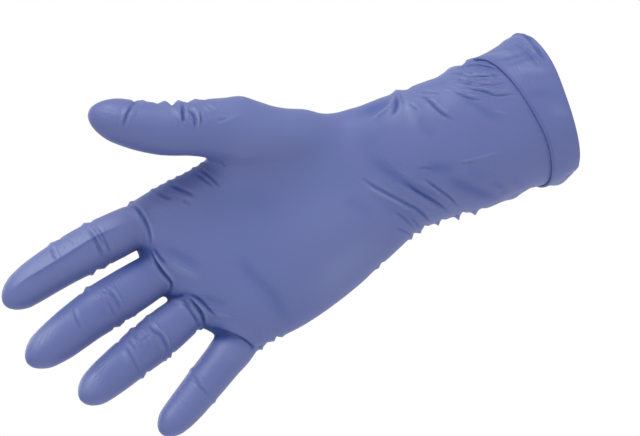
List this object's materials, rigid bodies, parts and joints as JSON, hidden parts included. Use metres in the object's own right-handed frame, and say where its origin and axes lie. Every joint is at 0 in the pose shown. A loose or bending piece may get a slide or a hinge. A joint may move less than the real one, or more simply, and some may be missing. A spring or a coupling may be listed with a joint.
{
  "type": "nitrile exam glove",
  "caption": "Thin right-hand dipped glove in its worn shape, fingers slightly spread, with a long sleeve whose end is turned outward as a cuff with a rolled bead.",
  "frame": {"origin": "middle of the wrist inside the sleeve, where a forearm holds the worn glove", "axes": "+X runs from the wrist out through the sleeve's mouth, so the fingers point along -X; +Z points to the thumb side; the palm faces -Y and the back of the hand +Y"},
  "size_m": [0.2692, 0.0572, 0.1485],
  "materials": {
    "nitrile": "satin violet-blue dipped nitrile film"
  },
  "bodies": {
    "root": {"glove": "nitrile"}
  },
  "joints": []
}
